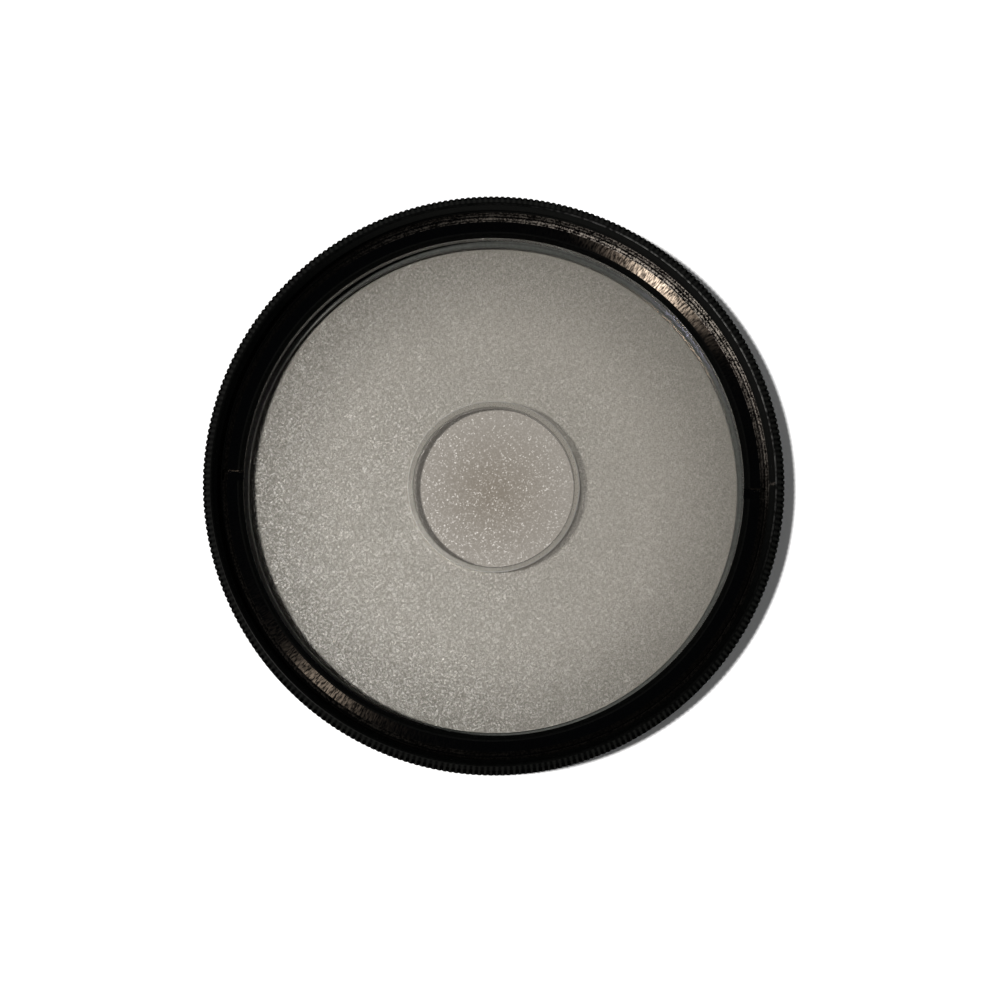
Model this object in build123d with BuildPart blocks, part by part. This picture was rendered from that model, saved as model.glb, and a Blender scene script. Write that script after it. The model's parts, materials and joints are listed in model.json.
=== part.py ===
"""A 49 mm screw-in lens filter with a hole drilled through the middle of its glass.

Three pieces, as on the bench: a knurled frame turned in one piece, a glass disc that drops into it from
the front, and a threaded ring that is screwed down onto the glass. Millimetres. The origin is at the
middle of the rear end, on the optical axis, and +Z points out of the front.
The threads are plain cylinders here: the male one at its major and the female one at its minor diameter.
"""

import math
import os

from build123d import *

# Filter thread, M49 x 0.75: the sizes across the filter all step in or out from it
thread_d = 49.0
thread_pitch = 0.75
minor_allowance = 1.0825  # a metric female thread's minor diameter is smaller by this many pitches

# Knurled rim
rim_height = 0.92  # radially, from the male thread's crests out to the flange behind the knurl
flange_height = 0.5  # of the plain flange, which closes the knurl's grooves
rear_bevel = 0.3
knurl_drop = 0.05  # radially, from the flange in to the knurl's crests
knurl_teeth = 314
knurl_angle = 125.0  # included angle of each V
knurl_step = 0.03  # radially, from the front bevel out to the knurl's roots
land_width = 0.23  # flat front face between the rim's bevel and the thread's mouth
lead_in = 0.44  # chamfer at the mouth of the front thread

# Rear end
rear_thread_len = 3.0  # up to the shoulder that seats on the lens
relief_width = 0.5
relief_depth = 0.5
thread_end_chamfer = 0.45
rear_bore_depth = 0.6
rear_bore_step = 1.0  # radially, out from the ledge's edge
rear_bore_chamfer = 0.2

# Glass disc, its pocket and the ledge that it seats on
glass_thickness = 2.0
glass_edge_chamfer = 0.25
spot_d = 14.2
spot_chamfer = 0.43
ledge_thickness = 0.8
ledge_width = 1.6  # of glass resting on the ledge
pocket_clearance = 0.08  # all round the glass
pocket_step = 0.5  # radially, in from the retaining ring's thread
pocket_recess = 0.3  # the pocket ends this far below the glass's face, so the ring bears on glass alone

# Retaining ring, on its own thread of the same pitch, which drops through the front one: M48.5 x 0.75
retainer_thread_drop = 0.5  # its diameter is this much under the filter thread's
retainer_clearance = 0.04  # all round, between the ring and its thread in the frame
retainer_height = 1.7
retainer_setback = 0.32  # radially, from the ledge's edge out to the ring's bore
retainer_bevel = 0.36
retainer_edge_chamfer = 0.04
retainer_sink = 0.1  # the ring's face lies this far below the mouth of its own thread
slot_width = 0.9
slot_depth = 0.8
slot_turn = -2.0  # degrees from the X axis at which the slots came to rest
front_recess = 2.0  # from the front face down to the ring's face

# Radii, from the outside in
male_r = thread_d / 2
flange_r = male_r + rim_height
knurl_r = flange_r - knurl_drop
relief_r = male_r - relief_depth
female_r = (thread_d - minor_allowance * thread_pitch) / 2
mouth_r = female_r + lead_in
land_r = mouth_r + land_width
retainer_thread_r = female_r - retainer_thread_drop / 2
retainer_r = retainer_thread_r - retainer_clearance
pocket_r = retainer_thread_r - pocket_step
glass_r = pocket_r - pocket_clearance
aperture_r = glass_r - ledge_width
rear_bore_r = aperture_r + rear_bore_step
retainer_bore_r = aperture_r + retainer_setback

# Heights, from the rear end up
shoulder_z = rear_thread_len
seat_z = rear_bore_depth + ledge_thickness
glass_top_z = seat_z + glass_thickness
pocket_top_z = glass_top_z - pocket_recess
retainer_top_z = glass_top_z + retainer_height
retainer_thread_z = retainer_top_z + retainer_sink
front_z = retainer_top_z + front_recess

# Knurl: sharp V teeth, square at their front ends, their depth following from their pitch and angle
knurl_pitch_deg = 360 / knurl_teeth
knurl_pitch = 2 * math.pi * knurl_r / knurl_teeth
knurl_depth = knurl_pitch / 2 / math.tan(math.radians(knurl_angle / 2))
knurl_root_r = knurl_r - knurl_depth
bevel_r = knurl_root_r - knurl_step
knurl_rear_z = shoulder_z + flange_height
knurl_front_z = front_z - (bevel_r - land_r)


def polar(radius, degrees):
    """A point of the XY plane at this radius and angle."""
    angle = math.radians(degrees)
    return (radius * math.cos(angle), radius * math.sin(angle))


# Frame: one turned section, with the teeth of the knurl in a band round the rim
with BuildPart() as filter_ring:
    with BuildSketch(Plane.XZ) as frame_section:
        with BuildLine():
            Polyline(
                (rear_bore_r + rear_bore_chamfer, 0),
                (male_r - thread_end_chamfer, 0),
                (male_r, thread_end_chamfer),
                (male_r, shoulder_z - relief_width),
                (relief_r, shoulder_z - relief_width),
                (relief_r, shoulder_z),
                (flange_r - rear_bevel, shoulder_z),
                (flange_r, shoulder_z + rear_bevel),
                (flange_r, knurl_rear_z),
                (bevel_r, knurl_rear_z),
                (bevel_r, knurl_front_z),
                (land_r, front_z),
                (mouth_r, front_z),
                (female_r, front_z - lead_in),
                (female_r, retainer_thread_z),
                (retainer_thread_r, retainer_thread_z),
                (retainer_thread_r, pocket_top_z),
                (pocket_r, pocket_top_z),
                (pocket_r, seat_z),
                (aperture_r, seat_z),
                (aperture_r, rear_bore_depth),
                (rear_bore_r, rear_bore_depth),
                (rear_bore_r, rear_bore_chamfer),
                close=True,
            )
        make_face()
    revolve(axis=Axis.Z)
    with BuildSketch(Plane.XY.offset(knurl_rear_z)) as knurl_band:
        with BuildLine():
            tooth_points = []
            for tooth in range(knurl_teeth):
                tooth_points.append(polar(knurl_r, tooth * knurl_pitch_deg))
                tooth_points.append(polar(knurl_root_r, (tooth + 0.5) * knurl_pitch_deg))
            Polyline(*tooth_points, close=True)
        make_face()
        Circle(land_r, mode=Mode.SUBTRACT)
    extrude(amount=knurl_front_z - knurl_rear_z)

# Glass: a flat disc, drilled through the middle, with every edge broken
with BuildPart() as spot_glass:
    with BuildSketch(Plane.XY.offset(seat_z)):
        Circle(glass_r)
        Circle(spot_d / 2, mode=Mode.SUBTRACT)
    extrude(amount=glass_thickness)
    rims = spot_glass.edges().filter_by(GeomType.CIRCLE).sort_by(SortBy.RADIUS)
    chamfer(rims[:2], length=spot_chamfer)
    chamfer(rims[-2:], length=glass_edge_chamfer)

# Retaining ring: a turned section with two spanner slots cut across its face
with BuildPart() as retaining_ring:
    with BuildSketch(Plane.XZ) as retainer_section:
        with BuildLine():
            Polyline(
                (retainer_bore_r, glass_top_z),
                (retainer_r - retainer_edge_chamfer, glass_top_z),
                (retainer_r, glass_top_z + retainer_edge_chamfer),
                (retainer_r, retainer_top_z - retainer_edge_chamfer),
                (retainer_r - retainer_edge_chamfer, retainer_top_z),
                (retainer_bore_r + retainer_bevel, retainer_top_z),
                (retainer_bore_r, retainer_top_z - retainer_bevel),
                close=True,
            )
        make_face()
    revolve(axis=Axis.Z)
    with BuildSketch(Plane.XY.offset(retainer_top_z)):
        Rectangle(2 * retainer_thread_r, slot_width, rotation=slot_turn)
    extrude(amount=-slot_depth, mode=Mode.SUBTRACT)

filter_ring.part.label = "filter_ring"
spot_glass.part.label = "spot_glass"
retaining_ring.part.label = "retaining_ring"

os.makedirs("parts", exist_ok=True)
export_step(filter_ring.part, "parts/filter_ring.step")
export_step(spot_glass.part, "parts/spot_glass.step")
export_step(retaining_ring.part, "parts/retaining_ring.step")
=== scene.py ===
"""Looks of the screw-in lens filter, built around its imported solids.

Sizes are in mm in the frame of the solids, and become metres when a mesh is made.
"""
import json
import math

import bmesh
import bpy
import numpy as np
from mathutils import Matrix, Vector


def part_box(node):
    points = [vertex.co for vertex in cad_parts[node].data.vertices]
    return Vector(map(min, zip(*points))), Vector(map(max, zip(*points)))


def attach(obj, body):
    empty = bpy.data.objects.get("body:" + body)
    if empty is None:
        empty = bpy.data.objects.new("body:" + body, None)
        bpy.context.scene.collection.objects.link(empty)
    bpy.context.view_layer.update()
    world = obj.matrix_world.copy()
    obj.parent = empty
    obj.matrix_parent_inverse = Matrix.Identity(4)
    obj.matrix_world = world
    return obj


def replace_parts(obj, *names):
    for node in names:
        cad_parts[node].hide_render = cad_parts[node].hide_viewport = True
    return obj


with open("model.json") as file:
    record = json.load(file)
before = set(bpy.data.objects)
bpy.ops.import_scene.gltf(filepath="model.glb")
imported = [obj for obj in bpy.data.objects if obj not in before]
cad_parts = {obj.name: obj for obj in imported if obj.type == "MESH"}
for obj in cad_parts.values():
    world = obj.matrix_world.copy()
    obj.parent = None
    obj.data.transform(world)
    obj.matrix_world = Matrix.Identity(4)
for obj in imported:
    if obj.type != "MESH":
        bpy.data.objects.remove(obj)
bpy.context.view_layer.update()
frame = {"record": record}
MM = 0.001
TURN = 2 * math.pi
SHARP_ANGLE = math.radians(30)
MERGE_METRES = 2e-7

# Sizes that the frame gives: threads from the mounts, the rest from the boxes of the nodes
mounts = {mount["name"]: mount["dims"] for mount in frame["record"]["mounts"] if mount["dims"]}
frame_box, ring_box, glass_box = (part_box(node) for node in ("filter_ring", "retaining_ring", "spot_glass"))
MALE_R = mounts["rear_thread"]["r_mm"]
FEMALE_R = mounts["front_thread"]["r_mm"]
FLANGE_R = frame_box[1].x / MM
FRONT_Z = frame_box[1].z / MM
RING_R = ring_box[1].y / MM
RING_TOP_Z = ring_box[1].z / MM
GLASS_R = glass_box[1].x / MM
SEAT_Z = glass_box[0].z / MM
RING_LOW_Z = glass_box[1].z / MM

# Rim of the frame, as in the solid
TEETH = 314
KNURL_R = FLANGE_R - 0.05
KNURL_DEPTH = 0.1321
KNURL_ROOT_R = KNURL_R - KNURL_DEPTH
BEVEL_R = KNURL_ROOT_R - 0.03
LEAD_IN = 0.44
LAND_WIDTH = 0.23
LAND_R = FEMALE_R + LEAD_IN + LAND_WIDTH
SHOULDER_Z = 3.0
REAR_BEVEL = 0.3
FLANGE_HEIGHT = 0.5
KNURL_LOW_Z = SHOULDER_Z + FLANGE_HEIGHT
KNURL_HIGH_Z = FRONT_Z - (BEVEL_R - LAND_R)

# Rear and inside of the frame, as in the solid
PITCH = 0.75
THREAD_END = 0.45
RELIEF_WIDTH = 0.5
RELIEF_R = MALE_R - 0.5
THREAD_TOP_Z = SHOULDER_Z - RELIEF_WIDTH
POCKET_R = GLASS_R + 0.08
POCKET_Z = RING_LOW_Z - 0.3
LEDGE_WIDTH = 1.6
LEDGE_THICKNESS = 0.8
APERTURE_R = GLASS_R - LEDGE_WIDTH
REAR_BORE_R = APERTURE_R + 1.0
REAR_BORE_Z = SEAT_Z - LEDGE_THICKNESS
REAR_BORE_CHAMFER = 0.2

# Retaining ring and glass, as in the solids
RING_CLEARANCE = 0.04
RING_BORE_R = APERTURE_R + 0.32
RING_BEVEL = 0.36
RING_EDGE = 0.04
RING_THREAD_R = RING_R + RING_CLEARANCE
RING_THREAD_Z = RING_TOP_Z + 0.1
SLOT_WIDTH = 0.9
SLOT_TURN = math.radians(-2.0)
SLOT_Z = RING_TOP_Z - 0.8
SPOT_R = 7.1
SPOT_CHAMFER = 0.43
GLASS_CHAMFER = 0.25

# Knurl in the looks: half widths in tooth pitches, and how its ribs climb the front bevel
CREST_HALF = 0.21
ROOT_HALF = 0.10
GROOVE_FILL = 0.045
FLANGE_WAVE = 0.05
FLANGE_EDGE = 0.05
TOOTH_END = 0.14
RIBS = (  # inwards and upwards from the bevel's foot, on a crest and then in a groove
    (-0.13, -0.045, -0.01, -0.06),
    (-0.02, -0.01, 0.075, 0),
    (0.07, 0.07, 0.13, 0.09),
    (0.16, 0.16, 0.16, 0.16),
)
RIB_END = 0.2

# Broken edges and clearances in the looks
LAND_CORNER = ((0.036, 0.036), (-0.009, 0.012), (-0.05, 0))  # outwards and downwards from the land's edge
LAND_END_R = LAND_R - 0.104
MOUTH_Z = FRONT_Z - 0.024
INNER_CORNER = 0.1
RUN_OUT_HEIGHT = 0.22
RUN_OUT_STEP = 0.02
THREAD_LIP = 0.05
GLASS_LIFT = 0.05
GLASS_SINK = 0.01
GLASS_GAP = 0.02
RING_LIFT = 0.02

# Face of the retaining ring in the looks: it is dished, and only its middle is finely turned
DISH = 0.085
SPECKLED_WIDTH = 0.42
SPECKLED_DISH = 0.24 * DISH
DULL_WIDTH = 0.16
DULL_DISH = 0.89 * DISH


class Skin:
    """Rings of points round the optical axis, joined into one closed surface."""

    def __init__(self):
        self.points = []
        self.faces = []
        self.groups = []
        self.count = 0

    def ring(self, r, z, theta):
        """Adds a ring of points and returns their numbers."""
        r, z = np.broadcast_to(r, theta.shape), np.broadcast_to(z, theta.shape)
        self.points.append(np.stack([r * np.cos(theta), r * np.sin(theta), z], 1))
        self.count += len(theta)
        return np.arange(self.count - len(theta), self.count)

    def add(self, faces, group):
        """Takes faces with one group for all of them, or one for each."""
        self.faces += faces.tolist()
        self.groups += np.broadcast_to(group, len(faces)).tolist()

    def join(self, a, b, group):
        """Quads between two rings of as many points."""
        self.add(np.stack([a, np.roll(a, -1), np.roll(b, -1), b], 1), group)

    def narrow(self, fine, coarse, group):
        """Faces between a ring and one of half as many points."""
        left, right = fine[0::2], fine[1::2]
        self.add(np.stack([left, right, coarse], 1), group)
        self.add(np.stack([right, np.roll(left, -1), np.roll(coarse, -1), coarse], 1), group)

    def path(self, rings, group):
        """Joins rings one after another."""
        for a, b in zip(rings, rings[1:]):
            self.join(a, b, group)

    def helix(self, theta, low, high, corners, radius, group, seam_group=None, cap=np.inf):
        """A screw thread between two heights, or up to the cap where that is lower.

        Its rows climb a pitch a turn, so each edge of the thread is one row. The column where the last points
        meet the first ones can have a group of its own.
        """
        seam_group = group if seam_group is None else seam_group
        first, last = math.floor(low / PITCH) - 3, math.ceil(high / PITCH) + 2
        rows = []
        for step in (turn + corner for turn in range(first, last) for corner in corners):
            z = np.minimum(np.clip((step + theta / TURN) * PITCH, low, high), cap)
            rows.append(self.ring(radius(z, theta), z, theta))
        grid, per_turn, top = np.array(rows), len(corners), len(rows) - 1
        for row in range(top):
            a, b = grid[row], grid[row + 1]
            self.add(np.stack([a[:-1], a[1:], b[1:], b[:-1]], 1), group)
            # The last column meets the first one a turn further up
            c, d = grid[min(row + per_turn, top), 0], grid[min(row + per_turn + 1, top), 0]
            self.add(np.array([[a[-1], c, d, b[-1]]]), seam_group)
        return grid[0], grid[-1]

    def build(self, name, materials):
        """Makes the object, with coinciding points merged and the normals facing out."""
        mesh = bpy.data.meshes.new(name)
        mesh.from_pydata((np.concatenate(self.points) * MM).tolist(), [], self.faces)
        for material in materials:
            mesh.materials.append(material)
        mesh.polygons.foreach_set("material_index", self.groups)
        bm = bmesh.new()
        bm.from_mesh(mesh)
        bmesh.ops.remove_doubles(bm, verts=bm.verts, dist=MERGE_METRES)
        bmesh.ops.dissolve_degenerate(bm, edges=bm.edges, dist=MERGE_METRES)
        bmesh.ops.recalc_face_normals(bm, faces=bm.faces)
        bm.to_mesh(mesh)
        bm.free()
        mesh.shade_smooth()
        mesh.set_sharp_from_angle(angle=SHARP_ANGLE)
        piece = bpy.data.objects.new(name, mesh)
        bpy.context.scene.collection.objects.link(piece)
        return piece


def thread(shape):
    """The radius of a right-hand thread, its section over a pitch given as (share of the pitch, radius)."""
    shares, radii = zip(*shape)

    def radius(z, theta):
        return np.interp((z / PITCH - theta / TURN) % 1, shares, radii)
    return radius


# Threads: flat crests and roots with 60 degree flanks between them, the front one's crests broken a little
RING_MAJOR_R = MALE_R - 0.25
REAR_ROOT_R = MALE_R - 0.46
BROKEN_CREST_R = FEMALE_R + 0.016
front_shape = [(0, MALE_R), (0.125, MALE_R), (0.425, BROKEN_CREST_R), (0.45, FEMALE_R), (0.675, FEMALE_R),
               (0.70, BROKEN_CREST_R), (1, MALE_R)]
rear_shape = [(0, MALE_R), (0.125, MALE_R), (0.479, REAR_ROOT_R), (0.646, REAR_ROOT_R), (1, MALE_R)]
ring_shape = [(0, RING_MAJOR_R), (0.125, RING_MAJOR_R), (0.4375, RING_THREAD_R), (0.6875, RING_THREAD_R),
              (1, RING_MAJOR_R)]
front_thread, rear_thread, ring_thread = thread(front_shape), thread(rear_shape), thread(ring_shape)


def corners(shape, rows=1):
    """The shares of the pitch at which a thread has a row, with more rows on each face where asked."""
    shares = [share for share, radius in shape]
    return [a + (b - a) * n / rows for a, b in zip(shares, shares[1:]) for n in range(rows)]


def front_radius(z, theta):
    """The front thread, opened at its mouth by the lead-in cone."""
    return np.maximum(FEMALE_R + LEAD_IN + z - FRONT_Z, front_thread(z, theta))


def rear_radius(z, theta):
    """The rear thread, with its end chamfered."""
    return np.minimum(rear_thread(z, theta), MALE_R - THREAD_END + z)


def seat_radius(z, theta):
    """The retaining ring's thread in the frame, narrowed at its mouth to pass under the front thread."""
    return np.minimum(ring_thread(z, theta), FEMALE_R - THREAD_LIP + RING_THREAD_Z - z)


def ring_radius(z, theta):
    """The retaining ring's own thread, with both ends chamfered."""
    ends = RING_R - RING_EDGE + np.minimum(z - RING_LOW_Z, RING_TOP_Z - z)
    return np.minimum(ring_thread(z, theta) - RING_CLEARANCE, ends)


# Nodes
class Shader:
    """A material's node tree, with a principled shader and a few shorthands."""

    def __init__(self, name):
        self.material = bpy.data.materials.new(name)
        self.material.use_nodes = True
        self.tree = self.material.node_tree
        self.shader = self.tree.nodes["Principled BSDF"]
        self.output = self.tree.nodes["Material Output"]
        self.place = self.node("ShaderNodeTexCoord").outputs["Object"]

    def node(self, kind, **values):
        made = self.tree.nodes.new(kind)
        for key, value in values.items():
            setattr(made, key, value)
        return made

    def feed(self, socket, source):
        """Links a socket to a node's output, or sets it to a value."""
        if hasattr(source, "is_output"):
            self.tree.links.new(source, socket)
        else:
            socket.default_value = source

    def set(self, **values):
        """Feeds the principled shader's sockets, named with _ for a space."""
        for key, value in values.items():
            self.feed(self.shader.inputs[key.replace("_", " ")], value)

    def math(self, operation, *inputs):
        made = self.node("ShaderNodeMath", operation=operation)
        for socket, source in zip(made.inputs, inputs):
            self.feed(socket, source)
        return made.outputs[0]

    def vector(self, operation, *inputs, out="Vector"):
        made = self.node("ShaderNodeVectorMath", operation=operation)
        for socket, source in zip(made.inputs, inputs):
            self.feed(socket, source)
        return made.outputs[out]

    def noise(self, scale, detail, roughness=0.5, vector=None):
        """Noise of this many cells a metre, at the place on the object unless another vector is given."""
        made = self.node("ShaderNodeTexNoise")
        self.feed(made.inputs["Vector"], vector or self.place)
        made.inputs["Scale"].default_value = scale
        made.inputs["Detail"].default_value = detail
        made.inputs["Roughness"].default_value = roughness
        return made.outputs["Fac"]

    def rings(self, radius, per_mm):
        """Noise that runs round the axis, as a turning tool leaves it."""
        made = self.node("ShaderNodeTexNoise", noise_dimensions="1D")
        self.feed(made.inputs["W"], radius)
        made.inputs["Scale"].default_value = per_mm / MM
        return made.outputs["Fac"]

    def remap(self, value, low, high, to_low, to_high):
        made = self.node("ShaderNodeMapRange")
        for socket, source in zip(made.inputs, (value, low, high, to_low, to_high)):
            self.feed(socket, source)
        return made.outputs[0]

    def spread(self, noise, low, high):
        """Stretches the range in which most of a noise lies to this one."""
        return self.remap(noise, 0.25, 0.75, low, high)

    def ramp(self, value, *stops):
        made = self.node("ShaderNodeValToRGB")
        self.feed(made.inputs[0], value)
        elements = made.color_ramp.elements
        while len(elements) < len(stops):
            elements.new(0.5)
        for element, (place, colour) in zip(elements, stops):
            element.position = place
            element.color = (*colour, 1)
        return made.outputs[0]

    def shade(self, noise, dark, light):
        """Runs between two colours over the range in which most of a noise lies."""
        return self.ramp(noise, (0.3, dark), (0.75, light))

    def bump(self, height, distance, normal=None):
        made = self.node("ShaderNodeBump")
        self.feed(made.inputs["Height"], height)
        made.inputs["Distance"].default_value = distance
        if normal is not None:
            self.feed(made.inputs["Normal"], normal)
        return made.outputs["Normal"]

    def flat(self):
        """The place without its height."""
        return self.vector("MULTIPLY", self.place, (1, 1, 0))

    def radius(self):
        """The distance from the axis, in metres."""
        return self.vector("LENGTH", self.flat(), out="Value")

    def outward(self):
        """The direction out from the axis."""
        return self.vector("NORMALIZE", self.flat())

    def side(self, azimuth, reach):
        """Runs from -1 to 1 across the filter, at this distance in mm on either side of the axis."""
        turn, metres = math.radians(azimuth), reach * MM
        across = (math.cos(turn) / metres, math.sin(turn) / metres, 0)
        return self.vector("DOT_PRODUCT", self.place, across, out="Value")

    def lathe_tangent(self, turn=0.0):
        """Stretches highlights across marks that run round the axis, or this share of a turn off it."""
        tangent = self.node("ShaderNodeTangent", direction_type="RADIAL", axis="Z")
        self.feed(self.shader.inputs["Tangent"], tangent.outputs[0])
        self.shader.inputs["Anisotropic Rotation"].default_value = 0.25 + turn


# Finishes of the frame
DEEP_BLACK, BLACK = (0.0004, 0.0005, 0.0005), (0.0012, 0.0013, 0.0012)


def anodised_frame():
    """The black anodised land, shoulder and relief, smooth enough to catch the lamp in a thin line."""
    s = Shader("anodised_frame")
    grain = s.noise(9000, detail=3)
    wave = s.noise(2600, detail=2)
    s.set(Base_Color=s.shade(grain, DEEP_BLACK, BLACK))
    s.set(Roughness=s.spread(grain, 0.21, 0.27), Specular_IOR_Level=0.010)
    s.set(Normal=s.bump(wave, 6e-6, normal=s.bump(grain, 1e-6)))
    return s.material


def anodised_lead():
    """The front thread and its lead-in, with painted light that makes them greyer on one side."""
    s = Shader("anodised_lead")
    grain = s.noise(6000, detail=3)
    # Painted light: the colour is greyer on one side of the axis.
    painted_light = s.remap(s.side(57, 24.5), 0.1, 0.8, 0.0, 0.55)
    tone = s.math("MULTIPLY_ADD", grain, 0.4, painted_light)
    s.set(Base_Color=s.ramp(tone, (0.15, DEEP_BLACK), (0.9, (0.0050, 0.0052, 0.0050))))
    s.set(Roughness=s.spread(grain, 0.4, 0.5), Specular_IOR_Level=0.004)
    s.set(Normal=s.bump(grain, 3e-6))
    return s.material


def anodised_mouth():
    """The broken edge at the front thread's mouth, polished by caps and hoods, with a painted highlight that
    makes it shine on one side only.
    """
    s = Shader("anodised_mouth")
    grain = s.noise(7000, detail=3)
    bead = s.noise(3200, detail=2)
    # Painted highlight: the edge shines only on one side of the axis.
    painted_light = s.remap(s.side(32, 24.6), 0.62, 0.97, 0.1, 1.0)
    polish = s.remap(bead, 0.35, 0.65, 0.01, 0.10)
    s.set(Base_Color=s.shade(grain, DEEP_BLACK, BLACK))
    s.set(Roughness=s.spread(grain, 0.24, 0.30), Specular_IOR_Level=s.math("MULTIPLY", polish, painted_light))
    s.set(Normal=s.bump(bead, 3e-6))
    return s.material


def anodised_thread():
    """Speckled black: the tool's marks break the lamplight into bronze specks, and a painted highlight keeps
    most of them on one side.
    """
    s = Shader("anodised_thread")
    speck = s.noise(7200, detail=2, roughness=0.6)
    patch = s.noise(1500, detail=2)
    rows = s.math("SINE", s.math("MULTIPLY", s.radius(), 24000.0))
    mix = s.math("MULTIPLY_ADD", speck, 0.75, s.math("MULTIPLY", patch, 0.25))
    spark = s.remap(s.math("MULTIPLY_ADD", rows, 0.05, mix), 0.47, 0.60, 0.0, 1.0)
    # Painted highlight: the specks shine mostly on one side of the axis.
    painted_light = s.remap(s.side(60, 24), 0.4, 1.0, 0.02, 0.75)
    s.set(Base_Color=s.ramp(speck, (0.35, (0.0004, 0.0004, 0.0004)), (0.75, (0.0018, 0.0016, 0.0014))))
    s.set(Roughness=s.remap(mix, 0.3, 0.7, 0.36, 0.46), Anisotropic=0.95)
    s.set(Specular_IOR_Level=s.math("MULTIPLY", spark, painted_light), Specular_Tint=(1.0, 0.90, 0.80, 1))
    s.lathe_tangent(turn=-0.03)
    s.set(Normal=s.bump(speck, 9e-6))
    return s.material


def anodised_knurl():
    """The bevel and the crests of the knurl: dull, greyer in patches from wear, with painted shade between
    the teeth.
    """
    s = Shader("anodised_knurl")
    grain = s.noise(6500, detail=3, roughness=0.6)
    cloud = s.noise(420, detail=3)
    split = s.node("ShaderNodeSeparateXYZ")
    s.feed(split.inputs[0], s.place)
    angle = s.math("ARCTAN2", split.outputs["Y"], split.outputs["X"])
    # Painted shade: the colour is lighter on each tooth and darker between the teeth, over the patchy tone of
    # wear.
    tooth = s.math("COSINE", s.math("MULTIPLY", angle, float(TEETH)))
    tone = s.math("MULTIPLY_ADD", cloud, 0.4, s.math("MULTIPLY", grain, 0.6))
    painted_light = s.math("MULTIPLY_ADD", tooth, 0.22, tone)
    s.set(Base_Color=s.ramp(painted_light, (0.3, (0.0001, 0.0002, 0.0002)), (0.85, (0.0066, 0.0070, 0.0065))))
    s.set(Roughness=s.spread(grain, 0.54, 0.66), Specular_IOR_Level=0.02, Anisotropic=0.9)
    s.lathe_tangent(turn=-0.02)
    s.set(Normal=s.bump(grain, 9e-6))
    return s.material


def anodised_groove():
    """The grooves of the knurl, black and without sheen: painted shade that keeps them darker than the
    crests.
    """
    s = Shader("anodised_groove")
    dust = s.noise(5200, detail=3)
    # Painted shade: a darker black than on the crests.
    s.set(Base_Color=s.ramp(dust, (0.35, (0.0002, 0.0002, 0.0002)), (0.75, (0.0011, 0.0012, 0.0011))))
    s.set(Roughness=s.spread(dust, 0.6, 0.8), Specular_IOR_Level=0.0)
    s.set(Normal=s.bump(dust, 6e-6))
    return s.material


def anodised_ledge():
    """The pocket and the ledge under the glass, left rougher by the tool."""
    s = Shader("anodised_ledge")
    grain = s.noise(6000, detail=3)
    lines = s.rings(s.radius(), per_mm=9)
    mix = s.math("MULTIPLY_ADD", lines, 0.6, s.math("MULTIPLY", grain, 0.4))
    s.set(Base_Color=s.shade(mix, (0.010, 0.0095, 0.009), (0.040, 0.038, 0.035)))
    s.set(Roughness=s.spread(grain, 0.45, 0.6), Specular_IOR_Level=0.2, Anisotropic=0.5)
    s.lathe_tangent()
    s.set(Normal=s.bump(lines, 3e-6, normal=s.bump(grain, 5e-6)))
    return s.material


def anodised_seat():
    """The faced seat under the glass, grey rather than black, with painted light that makes it paler on the
    shaded side.
    """
    s = Shader("anodised_seat")
    grain = s.noise(4000, detail=3)
    lines = s.rings(s.radius(), per_mm=6)
    # Painted light: the colour is paler on the side that the lamp leaves in shadow.
    painted_fill = s.remap(s.side(192, 22), 0.35, 0.85, 0.0, 0.5)
    tone = s.math("MULTIPLY_ADD", lines, 0.2, s.math("MULTIPLY_ADD", grain, 0.2, painted_fill))
    s.set(Base_Color=s.ramp(tone, (0.1, (0.024, 0.025, 0.024)), (0.28, (0.060, 0.062, 0.059)),
                            (0.8, (0.60, 0.61, 0.59))))
    s.set(Roughness=s.spread(grain, 0.5, 0.6), Specular_IOR_Level=0.02)
    s.set(Normal=s.bump(lines, 2e-6))
    return s.material


# Finishes of the retaining ring
def anodised_turned():
    """The ring's faced surface, whose marks run a little off round and catch the lamp in two wedges, with a
    painted sheen that is strongest on one side and narrows the upper wedge.
    """
    s = Shader("anodised_turned")
    radius = s.radius()
    across = s.node("ShaderNodeCombineXYZ")
    s.feed(across.inputs["Z"], s.math("MULTIPLY", radius, 10.5))
    marks = s.vector("ADD", s.outward(), across.outputs[0])
    streak = s.noise(190, detail=2, roughness=0.6, vector=marks)
    lines = s.rings(radius, per_mm=18)
    grain = s.noise(7000, detail=2)
    mix = s.math("MULTIPLY_ADD", lines, 0.5, s.math("MULTIPLY", grain, 0.5))
    # Painted highlight: the sheen is strongest on one side of the axis.
    painted_sheen = s.remap(s.side(50, 23), 0.92, 0.99, 0.14, 1.0)
    glint = s.remap(streak, 0.38, 0.62, 0.05, 0.8)
    s.set(Base_Color=s.shade(mix, (0.0003, 0.0004, 0.0005), (0.0009, 0.0010, 0.0012)))
    s.set(Roughness=s.remap(streak, 0.3, 0.7, 0.13, 0.165), Anisotropic=1.0)
    s.set(Specular_IOR_Level=s.math("MULTIPLY", glint, painted_sheen), Specular_Tint=(1.0, 0.82, 0.66, 1))
    s.lathe_tangent(turn=-0.032)
    s.set(Normal=s.bump(streak, 0.35e-6, normal=s.bump(lines, 0.4e-6)))
    return s.material


def anodised_bevel():
    """The ring's inner bevel, dull black."""
    s = Shader("anodised_bevel")
    grain = s.noise(6000, detail=3)
    s.set(Base_Color=s.shade(grain, (0.0005, 0.0006, 0.0006), (0.0024, 0.0025, 0.0024)))
    s.set(Roughness=s.spread(grain, 0.42, 0.55), Specular_IOR_Level=0.004)
    s.set(Normal=s.bump(grain, 5e-6))
    return s.material


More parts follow.
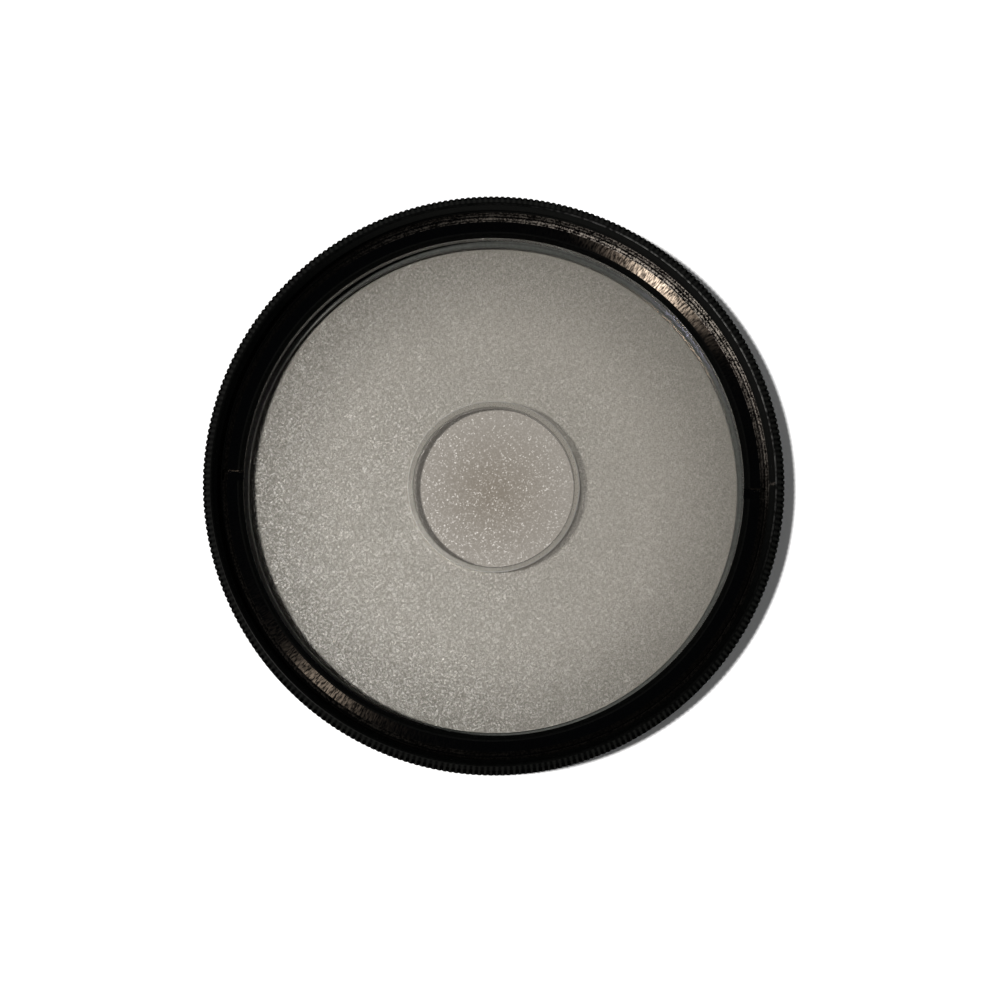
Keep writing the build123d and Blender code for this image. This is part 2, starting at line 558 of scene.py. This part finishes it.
def anodised_bore():
    """The ring's bore, which mirrors the glass at a grazing angle."""
    s = Shader("anodised_bore")
    grain = s.noise(5000, detail=3)
    s.set(Base_Color=s.shade(grain, (0.0020, 0.0021, 0.0021), (0.0060, 0.0060, 0.0058)))
    s.set(Roughness=s.spread(grain, 0.16, 0.26), Specular_IOR_Level=0.5)
    s.set(Normal=s.bump(grain, 2e-6))
    return s.material


# Finishes of the glass
GLASS_IOR = 1.52


def lamps_through(s, colour):
    """Lets lamplight through the glass in straight lines."""
    mix, clear = s.node("ShaderNodeMixShader"), s.node("ShaderNodeBsdfTransparent")
    clear.inputs["Color"].default_value = (*colour, 1)
    s.feed(mix.inputs[0], s.node("ShaderNodeLightPath").outputs["Is Shadow Ray"])
    s.feed(mix.inputs[1], s.shader.outputs[0])
    s.feed(mix.inputs[2], clear.outputs[0])
    s.feed(s.output.inputs["Surface"], mix.outputs[0])


def coated_glass():
    """The polished faces, with a thin coating and faint smears."""
    s = Shader("coated_glass")
    smear = s.noise(90, detail=4, roughness=0.6)
    s.set(Base_Color=s.ramp(smear, (0.3, (0.985, 0.99, 0.985)), (0.7, (0.995, 0.995, 0.995))))
    s.set(Roughness=s.remap(smear, 0.35, 0.75, 0.0, 0.012), IOR=GLASS_IOR, Transmission_Weight=1.0)
    s.set(Thin_Film_Thickness=104.0, Thin_Film_IOR=1.38)
    lamps_through(s, (0.96, 0.965, 0.96))
    return s.material


def ground_glass():
    """The ground edges."""
    s = Shader("ground_glass")
    grit = s.noise(12000, detail=2)
    s.set(Base_Color=s.ramp(grit, (0.3, (0.80, 0.81, 0.80)), (0.7, (0.92, 0.92, 0.91))))
    s.set(Roughness=s.remap(grit, 0.3, 0.7, 0.25, 0.4), IOR=GLASS_IOR, Transmission_Weight=1.0)
    s.set(Normal=s.bump(grit, 8e-6))
    lamps_through(s, (0.5, 0.5, 0.5))
    return s.material


def broken_edge():
    """The corners of the hole's upper chamfer, tinted dark as painted shade for the dark lines the refracting
    rim shows from above.
    """
    s = Shader("broken_edge")
    grit = s.noise(9000, detail=2)
    # Painted shade: a dark tint for the dark lines at the hole's rim.
    s.set(Base_Color=s.ramp(grit, (0.3, (0.22, 0.23, 0.22)), (0.7, (0.38, 0.39, 0.37))))
    s.set(Roughness=s.remap(grit, 0.3, 0.7, 0.3, 0.5), IOR=GLASS_IOR, Transmission_Weight=1.0)
    s.set(Normal=s.bump(grit, 4e-6))
    lamps_through(s, (0.4, 0.4, 0.4))
    return s.material


# Finishes of the stage
def floor_white():
    """A pale floor, cool enough to come out white under the warm lamp."""
    s = Shader("studio_floor")
    cloud = s.noise(30, detail=3)
    s.set(Base_Color=s.ramp(cloud, (0.3, (0.85, 0.868, 0.90)), (0.7, (0.87, 0.888, 0.92))))
    s.set(Roughness=0.9, Specular_IOR_Level=0.1)
    return s.material


def blasted_card():
    """A grey bead-blasted plate whose grains glint, with painted shade that darkens it towards its edge and
    makes it darker and browner in the middle, and painted glints from a little more gloss inside the hole.
    """
    s = Shader("blasted_card")
    radius = s.radius()
    grain = s.noise(9500, detail=2, roughness=0.6)
    # Painted shade: darker towards the edge, under the ring.
    edge = s.remap(radius, 13.5 * MM, 21.5 * MM, 0.15, -0.27)
    grey = s.ramp(s.math("MULTIPLY_ADD", grain, 0.7, edge), (0.05, (0.124, 0.116, 0.105)),
                  (0.45, (0.215, 0.202, 0.184)), (0.75, (0.238, 0.224, 0.204)))
    # Painted shade: the middle of the hole turns darker and browner.
    brown = s.ramp(grain, (0.25, (0.132, 0.116, 0.096)), (0.75, (0.158, 0.140, 0.117)))
    blend = s.node("ShaderNodeMixRGB")
    s.feed(blend.inputs[0], s.remap(radius, 0.6 * MM, 6.4 * MM, 0.85, 0.0))
    s.feed(blend.inputs[1], grey)
    s.feed(blend.inputs[2], brown)
    s.set(Base_Color=blend.outputs[0])
    cells = s.node("ShaderNodeTexVoronoi")
    s.feed(cells.inputs["Vector"], s.place)
    cells.inputs["Scale"].default_value = 10500
    tilt = s.vector("SUBTRACT", cells.outputs["Color"], (0.5, 0.5, 0.5))
    normal = s.node("ShaderNodeNewGeometry").outputs["Normal"]
    facet = s.vector("MULTIPLY_ADD", tilt, (0.21, 0.21, 0.0), normal)
    # Painted glints: a little glossier inside the hole.
    gloss = s.remap(radius, 6.8 * MM, 7.8 * MM, 0.085, 0.075)
    s.set(Roughness=0.26, Specular_IOR_Level=gloss, Normal=s.vector("NORMALIZE", facet))
    return s.material


def take(piece, node):
    """Puts a piece in the place of a solid."""
    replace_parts(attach(piece, "root"), node)
    return piece


def knurled_frame():
    """The frame. Its knurled band has four points a tooth, the rest half as many."""
    skin = Skin()
    turned, knurled, groove, ledge, threaded, seat, mouth, lead = range(8)
    pitch = TURN / TEETH
    crest, root = CREST_HALF * pitch, ROOT_HALF * pitch
    tooth = np.array([-crest, crest, pitch / 2 - root, pitch / 2 + root])
    fine = (np.arange(TEETH)[:, None] * pitch + tooth).ravel()
    coarse = np.arange(2 * TEETH) * pitch / 2
    on_tooth = np.tile([1.0, 1.0, 0.0, 0.0], TEETH)

    def plain(*section):
        return [skin.ring(r, z, coarse) for r, z in section]

    # Up the outside: rear thread, relief, shoulder
    rear_low, rear_high = skin.helix(coarse, 0, THREAD_TOP_Z, corners(rear_shape), rear_radius, threaded)
    shoulder = plain((RELIEF_R, THREAD_TOP_Z), (RELIEF_R, SHOULDER_Z - INNER_CORNER),
                     (RELIEF_R + INNER_CORNER, SHOULDER_Z), (FLANGE_R - REAR_BEVEL, SHOULDER_Z))
    skin.path([rear_high] + shoulder, turned)

    # Flange, teeth, and the ribs over the bevel
    flange = FLANGE_R - FLANGE_WAVE * (1 - on_tooth)
    star = np.where(on_tooth, KNURL_R, KNURL_ROOT_R + GROOVE_FILL)
    knurl = [skin.ring(r, z, fine) for r, z in (
        (flange, SHOULDER_Z + REAR_BEVEL), (flange, KNURL_LOW_Z - FLANGE_EDGE),
        (star, KNURL_LOW_Z), (star, KNURL_HIGH_Z - TOOTH_END))]
    for crest_in, crest_up, root_in, root_up in RIBS:
        inset, rise = np.where(on_tooth, crest_in, root_in), np.where(on_tooth, crest_up, root_up)
        knurl.append(skin.ring(BEVEL_R - inset, KNURL_HIGH_Z + rise, fine))
    skin.narrow(knurl[0], shoulder[-1], knurled)
    skin.path(knurl[:3], knurled)
    skin.path(knurl[2:], np.tile([knurled, groove, groove, groove], TEETH))

    # Bevel and land
    corner = [(LAND_R + out, FRONT_Z - down) for out, down in LAND_CORNER]
    front = plain((BEVEL_R - RIB_END, KNURL_HIGH_Z + RIB_END), *corner, (LAND_END_R, FRONT_Z))
    skin.path(front[:4], knurled)
    skin.path(front[3:], turned)
    skin.narrow(knurl[-1], front[0], knurled)

    # Down the inside: front thread, its run-out, the retaining ring's thread, pocket, seat and rear bore
    front_low, front_high = skin.helix(coarse, RING_THREAD_Z + RUN_OUT_HEIGHT, MOUTH_Z,
                                       corners(front_shape, rows=2), front_radius, lead, seam_group=threaded)
    run_out = skin.ring(RING_THREAD_R + RUN_OUT_STEP, RING_THREAD_Z, coarse)
    skin.join(front[-1], front_high, mouth)
    seat_low, seat_high = skin.helix(coarse, POCKET_Z, RING_THREAD_Z, corners(ring_shape), seat_radius,
                                     threaded)
    skin.join(front_low, run_out, threaded)
    skin.join(run_out, seat_high, turned)
    inside = plain((POCKET_R, POCKET_Z), (POCKET_R, SEAT_Z), (APERTURE_R + INNER_CORNER, SEAT_Z),
                   (APERTURE_R, SEAT_Z - INNER_CORNER), (APERTURE_R, REAR_BORE_Z), (REAR_BORE_R, REAR_BORE_Z),
                   (REAR_BORE_R, REAR_BORE_CHAMFER), (REAR_BORE_R + REAR_BORE_CHAMFER, 0))
    skin.path([seat_low] + inside[:2], ledge)
    skin.path(inside[1:4], seat)
    skin.path(inside[3:] + [rear_low], ledge)
    finishes = [anodised_frame(), anodised_knurl(), anodised_groove(), anodised_ledge(), anodised_thread(),
                anodised_seat(), anodised_mouth(), anodised_lead()]
    return take(skin.build("knurled_frame", finishes), "filter_ring")


def slotted_ring():
    """The retaining ring. Two columns of points stand at each wall of a slot, for its face and its floor."""
    skin = Skin()
    turned, bevel, bore, threaded = range(4)
    slot_degrees, step_degrees = 2.0, 0.5
    slot_columns = ((-1, 0), (-1, 1), (-0.5, 1), (0, 1), (0.5, 1), (1, 1), (1, 0))
    nominal, shares, floors = [], [], []
    for half in range(2):
        middle = SLOT_TURN + half * math.pi
        for share, floor in slot_columns:
            nominal.append(middle)
            shares.append(share)
            floors.append(floor)
        for step in np.arange(slot_degrees, 180 - slot_degrees + step_degrees / 2, step_degrees):
            nominal.append(middle + math.radians(step))
            shares.append(0)
            floors.append(0)
    nominal, shares, sunk = np.array(nominal), np.array(shares), np.array(floors, bool)

    def angles(r):
        return nominal + shares * math.asin(SLOT_WIDTH / 2 / r)

    def plain(*section):
        return [skin.ring(r, np.where(sunk, np.minimum(z, SLOT_Z), z), angles(r)) for r, z in section]

    low, high = skin.helix(angles(RING_R), RING_LOW_Z, RING_TOP_Z, corners(ring_shape), ring_radius, turned,
                           cap=np.where(sunk, SLOT_Z, RING_TOP_Z))
    bevel_r = RING_BORE_R + RING_BEVEL
    face = plain((RING_R - RING_EDGE, RING_TOP_Z), (RING_R - SPECKLED_WIDTH, RING_TOP_Z - SPECKLED_DISH),
                 (bevel_r + DULL_WIDTH, RING_TOP_Z - DULL_DISH), (bevel_r, RING_TOP_Z - DISH),
                 (RING_BORE_R, RING_TOP_Z - RING_BEVEL), (RING_BORE_R, RING_LOW_Z + RING_LIFT))
    on_floor = sunk & np.roll(sunk, -1)
    skin.path([high] + face[:2], threaded)
    skin.path(face[1:3], turned)
    skin.path(face[2:5], np.where(on_floor, turned, bevel))
    skin.path(face[4:] + [low], bore)
    finishes = [anodised_turned(), anodised_bevel(), anodised_bore(), anodised_thread()]
    return take(skin.build("slotted_ring", finishes), "retaining_ring")


def drilled_glass():
    """The glass: polished faces, ground edges. It lies a hair inside the solid, so no surfaces coincide."""
    skin = Skin()
    polished, ground, broken = range(3)
    columns, strip = 720, 0.07
    theta = np.arange(columns) * TURN / columns
    low, high, edge = SEAT_Z + GLASS_LIFT, RING_LOW_Z - GLASS_SINK, GLASS_R - GLASS_GAP
    outer = SPOT_R + SPOT_CHAMFER
    section = [
        (outer + strip, high, polished),
        (edge - GLASS_CHAMFER, high, ground),
        (edge, high - GLASS_CHAMFER, ground),
        (edge, low + GLASS_CHAMFER, ground),
        (edge - GLASS_CHAMFER, low, polished),
        (outer, low, ground),
        (SPOT_R, low + SPOT_CHAMFER, ground),
        (SPOT_R, high - SPOT_CHAMFER, broken),
        (SPOT_R + strip, high - SPOT_CHAMFER + strip, ground),
        (outer, high, broken),
    ]
    rings = [skin.ring(r, z, theta) for r, z, group in section]
    for a, b, (r, z, group) in zip(rings, rings[1:] + rings[:1], section):
        skin.join(a, b, group)
    finishes = [coated_glass(), ground_glass(), broken_edge()]
    return take(skin.build("drilled_glass", finishes), "spot_glass")


# Stage
def disc(name, r, z, material):
    skin = Skin()
    columns = 256
    theta = np.arange(columns) * TURN / columns
    skin.add(skin.ring(r, z, theta)[None, :], 0)
    piece = skin.build(name, [material])


def sky():
    """A dim studio with a soft band of light round it, given as (height, level)."""
    band = [(0.0, 0.03), (0.30, 0.04), (0.42, 0.17), (0.76, 0.155), (0.88, 0.02), (1.0, 0.01)]
    warmth = 0.97
    world = bpy.data.worlds.new("studio")
    bpy.context.scene.world = world
    world.use_nodes = True
    tree = world.node_tree
    place = tree.nodes.new("ShaderNodeTexCoord")
    split = tree.nodes.new("ShaderNodeSeparateXYZ")
    ramp = tree.nodes.new("ShaderNodeValToRGB")
    tree.links.new(place.outputs["Generated"], split.inputs[0])
    tree.links.new(split.outputs["Z"], ramp.inputs[0])
    tree.links.new(ramp.outputs[0], tree.nodes["Background"].inputs[0])
    elements = ramp.color_ramp.elements
    while len(elements) < len(band):
        elements.new(0.5)
    for element, (height, level) in zip(elements, band):
        element.position = height
        element.color = (level, level, warmth * level, 1)


def direction(zenith, azimuth):
    """The unit vector this many degrees down from +Z and round from +X."""
    zenith, azimuth = math.radians(zenith), math.radians(azimuth)
    flat = math.sin(zenith)
    return Vector((flat * math.cos(azimuth), flat * math.sin(azimuth), math.cos(zenith)))


def lamp(name, size, energy, place):
    """A round lamp that faces the origin."""
    data = bpy.data.lights.new(name, "AREA")
    data.shape = "DISK"
    data.size = size
    data.energy = energy
    data.color = (1.0, 0.972, 0.935)
    made = bpy.data.objects.new(name, data)
    bpy.context.scene.collection.objects.link(made)
    made.location = place
    made.rotation_euler = place.to_track_quat("Z", "Y").to_euler()
    return made


def stage():
    disc("floor", r=6000.0, z=0.0, material=floor_white())
    disc("card", r=22.6, z=0.03, material=blasted_card())
    sky()
    lamp("key", size=0.034, energy=5.0, place=direction(zenith=12.5, azimuth=197.0) * 0.6)
    fill = lamp("fill", size=0.5, energy=0.5, place=direction(zenith=34.0, azimuth=20.0) * 0.8)
    fill.visible_glossy = False
    bpy.context.scene.view_settings.view_transform = "Standard"
    bpy.context.scene.cycles.caustics_refractive = False


def camera():
    """The photograph's view: nearly straight down, from 260 mm, with the filter a little off the middle."""
    image_pixels, focal_pixels, pixels_per_mm = 1000, 2964.8, 11.403
    right_pixels, down_pixels = 6.2, 15.6
    sensor, distance, middle_height = 36.0, 0.26, 5 * MM
    middle, way = Vector((0, 0, middle_height)), direction(zenith=6.43, azimuth=266.1)
    right = Vector((0, 1, 0)).cross(way).normalized()
    up = way.cross(right)
    place = middle + way * distance
    aim = middle + (right * right_pixels - up * down_pixels) * MM / pixels_per_mm
    back = (place - aim).normalized()
    side = up.cross(back).normalized()
    data = bpy.data.cameras.new("camera")
    data.sensor_width = sensor
    data.lens = focal_pixels * sensor / image_pixels
    data.clip_start = 0.01
    eye = bpy.data.objects.new("camera", data)
    turn = Matrix((side, back.cross(side), back)).transposed().to_4x4()
    eye.matrix_world = Matrix.Translation(place) @ turn
    bpy.context.scene.collection.objects.link(eye)
    bpy.context.scene.camera = eye


knurled_frame()
slotted_ring()
drilled_glass()
stage()
camera()
